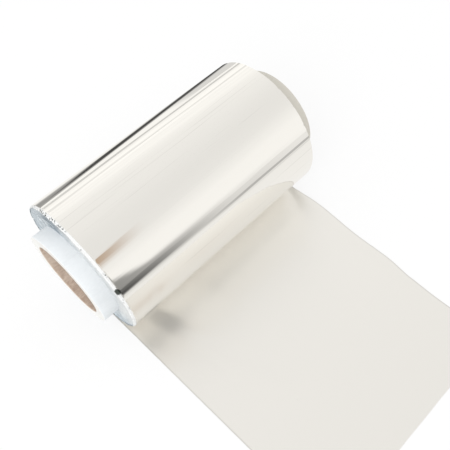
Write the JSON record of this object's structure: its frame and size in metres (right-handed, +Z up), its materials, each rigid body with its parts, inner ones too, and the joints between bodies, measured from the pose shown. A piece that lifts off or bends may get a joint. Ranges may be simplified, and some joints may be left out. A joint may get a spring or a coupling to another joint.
{
  "type": "aluminium foil roll",
  "caption": "Roll of aluminium foil wound on a card core tube that shows at both ends, lying on its side with a stretch of foil drawn off flat in front.",
  "frame": {"origin": "on the axis of the core tube, half-way along the width of the foil", "axes": "+X along the core tube towards the end that shows more card, +Z up, foil drawn off towards -Y"},
  "size_m": [0.139, 0.191, 0.0717],
  "materials": {
    "core_card": "white paper outside and on the cut ends, brown kraft inside",
    "foil": "rolled foil, bright on the outside of the roll and dull on the other side, which the drawn-off stretch shows"
  },
  "bodies": {
    "root": {"core_tube": "core_card", "foil_roll": "foil"}
  },
  "joints": []
}
